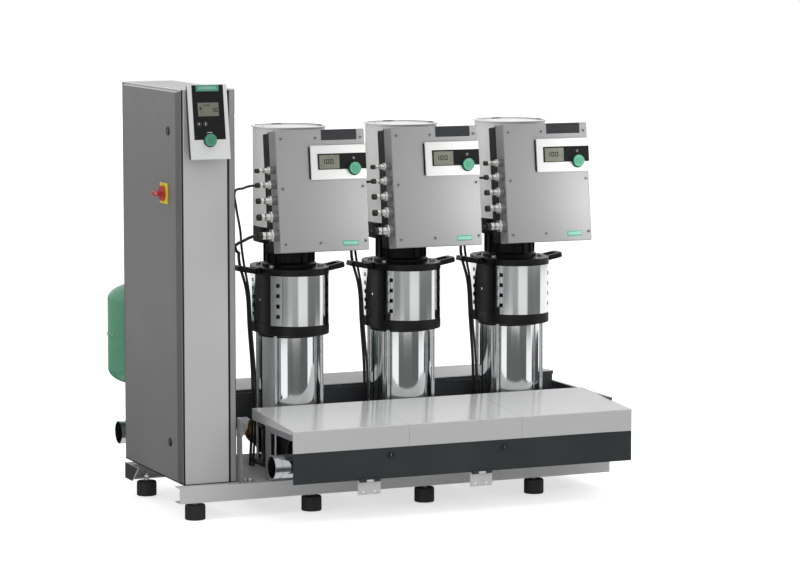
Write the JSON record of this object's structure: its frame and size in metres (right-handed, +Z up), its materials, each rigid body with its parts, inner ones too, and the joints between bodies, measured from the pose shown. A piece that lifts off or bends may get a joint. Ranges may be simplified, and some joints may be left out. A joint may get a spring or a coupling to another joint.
{
  "type": "booster pump set",
  "caption": "Packaged booster set: vertical multistage pumps with converters in a row on a base frame, with manifolds, sheet covers, a membrane vessel and a control cabinet.",
  "frame": {"origin": "middle of the bounding box, on the floor", "axes": "+X along the pump row, away from the cabinet; +Y to the rear, from the suction side to the discharge side; +Z up"},
  "size_m": [1.5404, 1.055, 1.3871],
  "materials": {
    "rail_grey": "smooth mid-grey paint, slightly satin",
    "rubber_black": "matte black rubber",
    "bright_steel": "plain bright steel",
    "polished_steel": "polished stainless sheet",
    "valve_brass": "bare brass",
    "lever_red": "red sleeve over a steel lever",
    "vessel_green": "green satin paint",
    "cast_black": "black satin paint on castings",
    "cowl_grey": "light grey satin plastic",
    "lid_grey": "silver-grey satin paint",
    "panel_white": "off-white plastic",
    "knob_green": "turquoise plastic",
    "cabinet_grey": "grey powder coat",
    "front_grey": "light grey powder coat",
    "door_grey": "grey powder coat",
    "zinc": "zinc-plated plate with grey switchgear",
    "switch_yellow": "yellow plastic",
    "switch_red": "red plastic",
    "black_plastic": "black plastic",
    "hmi_silver": "silver-grey plastic front",
    "cover_grey": "pale silver-grey paint",
    "skirt_anthracite": "anthracite satin paint"
  },
  "bodies": {
    "set_frame": {"base_front_rail": "rail_grey", "base_rear_rail": "rail_grey", "base_cross_members": "rail_grey", "rubber_feet": "rubber_black", "foot_studs": "bright_steel", "suction_manifold": "bright_steel", "discharge_manifold": "bright_steel", "valve_bodies": "valve_brass", "membrane_vessel": "vessel_green", "vessel_fitting": "valve_brass", "pump_feet": "cast_black", "pump_shells": "polished_steel", "diffuser_stacks": "bright_steel", "tie_rods": "bright_steel", "lanterns": "cast_black", "lifting_handles": "cast_black", "coupling_guards": "polished_steel", "motor_housings": "cast_black", "motor_cowls": "cowl_grey", "motor_bearings": "bright_steel", "converter_housings": "cast_black", "converter_lids": "lid_grey", "converter_panels": "panel_white", "cable_glands": "bright_steel", "pump_cables": "rubber_black", "cabinet_body": "cabinet_grey", "cabinet_front_panel": "front_grey", "switchgear_plate": "zinc", "hmi_housing": "black_plastic", "hmi_panel": "hmi_silver", "front_covers": "cover_grey", "rear_covers": "cover_grey", "skirt_panels": "skirt_anthracite", "cover_supports": "rail_grey", "flap_hinge_brackets": "rail_grey"},
    "door": {"cabinet_door": "door_grey", "main_switch_plate": "switch_yellow"},
    "main_switch": {"main_switch_knob": "switch_red"},
    "lock_upper": {"door_lock_upper": "black_plastic"},
    "lock_lower": {"door_lock_lower": "black_plastic"},
    "panel_spindle": {"hmi_spindle": "bright_steel"},
    "panel_knob": {"hmi_knob": "knob_green"},
    "flap": {"front_flap": "skirt_anthracite"},
    "flap_catch_left": {"flap_lock_left": "black_plastic"},
    "flap_catch_right": {"flap_lock_right": "black_plastic"},
    "spindle_1": {"converter_spindle_1": "bright_steel"},
    "knob_1": {"converter_knob_1": "knob_green"},
    "rotor_1": {"pump_rotor_1": "bright_steel"},
    "suction_lever_1": {"suction_valve_lever_1": "lever_red"},
    "discharge_lever_1": {"discharge_valve_lever_1": "lever_red"},
    "spindle_2": {"converter_spindle_2": "bright_steel"},
    "knob_2": {"converter_knob_2": "knob_green"},
    "rotor_2": {"pump_rotor_2": "bright_steel"},
    "suction_lever_2": {"suction_valve_lever_2": "lever_red"},
    "discharge_lever_2": {"discharge_valve_lever_2": "lever_red"},
    "spindle_3": {"converter_spindle_3": "bright_steel"},
    "knob_3": {"converter_knob_3": "knob_green"},
    "rotor_3": {"pump_rotor_3": "bright_steel"},
    "suction_lever_3": {"suction_valve_lever_3": "lever_red"},
    "discharge_lever_3": {"discharge_valve_lever_3": "lever_red"}
  },
  "joints": [
    {"name": "door_swing", "type": "hinge", "parent": "set_frame", "child": "door", "pos_m": [-0.72285, 0.2865, 0.109], "axis": [0, 0, -1], "range_deg": [0, 110]},
    {"name": "main_switch_turn", "type": "hinge", "parent": "door", "child": "main_switch", "pos_m": [-0.73985, -0.122, 1.033], "axis": [-1, 0, 0], "range_deg": [0, 90]},
    {"name": "upper_lock_turn", "type": "hinge", "parent": "door", "child": "lock_upper", "pos_m": [-0.73185, -0.1515, 1.234], "axis": [1, 0, 0], "range_deg": [0, 90]},
    {"name": "lower_lock_turn", "type": "hinge", "parent": "door", "child": "lock_lower", "pos_m": [-0.73185, -0.1515, 0.231], "axis": [1, 0, 0], "range_deg": [0, 90]},
    {"name": "panel_knob_press", "type": "slide", "parent": "set_frame", "child": "panel_spindle", "axis": [0, 0.988, -0.1547], "range_m": [0, 0.0015], "stiffness_N_per_m": 400},
    {"name": "panel_knob_turn", "type": "hinge", "parent": "panel_spindle", "child": "panel_knob", "pos_m": [-0.65235, -0.32347, 1.2127], "axis": [0, 0.988, -0.1547], "continuous": true},
    {"name": "flap_swing", "type": "hinge", "parent": "set_frame", "child": "flap", "pos_m": [-0.45385, -0.5235, 0.127], "axis": [1, 0, 0], "range_deg": [0, 170]},
    {"name": "left_catch_turn", "type": "hinge", "parent": "flap", "child": "flap_catch_left", "pos_m": [-0.11785, -0.5205, 0.205], "axis": [0, -1, 0], "range_deg": [0, 90]},
    {"name": "right_catch_turn", "type": "hinge", "parent": "flap", "child": "flap_catch_right", "pos_m": [0.28215, -0.5205, 0.205], "axis": [0, -1, 0], "range_deg": [0, 90]},
    {"name": "knob_press_1", "type": "slide", "parent": "set_frame", "child": "spindle_1", "axis": [0, 0.9928, -0.1201], "range_m": [0, 0.0015], "stiffness_N_per_m": 400},
    {"name": "knob_turn_1", "type": "hinge", "parent": "spindle_1", "child": "knob_1", "pos_m": [-0.16685, -0.33133, 1.11051], "axis": [0, 0.9928, -0.1201], "continuous": true},
    {"name": "rotor_spin_1", "type": "hinge", "parent": "set_frame", "child": "rotor_1", "pos_m": [-0.27785, -0.0465, 0.109], "axis": [0, 0, 1], "continuous": true},
    {"name": "suction_valve_turn_1", "type": "hinge", "parent": "set_frame", "child": "suction_lever_1", "pos_m": [-0.27785, -0.2525, 0.1846], "axis": [0, 0, 1], "range_deg": [0, 90]},
    {"name": "discharge_valve_turn_1", "type": "hinge", "parent": "set_frame", "child": "discharge_lever_1", "pos_m": [-0.27785, 0.1995, 0.1846], "axis": [0, 0, -1], "range_deg": [0, 90]},
    {"name": "knob_press_2", "type": "slide", "parent": "set_frame", "child": "spindle_2", "axis": [0, 0.9928, -0.1201], "range_m": [0, 0.0015], "stiffness_N_per_m": 400},
    {"name": "knob_turn_2", "type": "hinge", "parent": "spindle_2", "child": "knob_2", "pos_m": [0.23315, -0.33133, 1.11051], "axis": [0, 0.9928, -0.1201], "continuous": true},
    {"name": "rotor_spin_2", "type": "hinge", "parent": "set_frame", "child": "rotor_2", "pos_m": [0.12215, -0.0465, 0.109], "axis": [0, 0, 1], "continuous": true},
    {"name": "suction_valve_turn_2", "type": "hinge", "parent": "set_frame", "child": "suction_lever_2", "pos_m": [0.12215, -0.2525, 0.1846], "axis": [0, 0, 1], "range_deg": [0, 90]},
    {"name": "discharge_valve_turn_2", "type": "hinge", "parent": "set_frame", "child": "discharge_lever_2", "pos_m": [0.12215, 0.1995, 0.1846], "axis": [0, 0, -1], "range_deg": [0, 90]},
    {"name": "knob_press_3", "type": "slide", "parent": "set_frame", "child": "spindle_3", "axis": [0, 0.9928, -0.1201], "range_m": [0, 0.0015], "stiffness_N_per_m": 400},
    {"name": "knob_turn_3", "type": "hinge", "parent": "spindle_3", "child": "knob_3", "pos_m": [0.63315, -0.33133, 1.11051], "axis": [0, 0.9928, -0.1201], "continuous": true},
    {"name": "rotor_spin_3", "type": "hinge", "parent": "set_frame", "child": "rotor_3", "pos_m": [0.52215, -0.0465, 0.109], "axis": [0, 0, 1], "continuous": true},
    {"name": "suction_valve_turn_3", "type": "hinge", "parent": "set_frame", "child": "suction_lever_3", "pos_m": [0.52215, -0.2525, 0.1846], "axis": [0, 0, 1], "range_deg": [0, 90]},
    {"name": "discharge_valve_turn_3", "type": "hinge", "parent": "set_frame", "child": "discharge_lever_3", "pos_m": [0.52215, 0.1995, 0.1846], "axis": [0, 0, -1], "range_deg": [0, 90]}
  ]
}
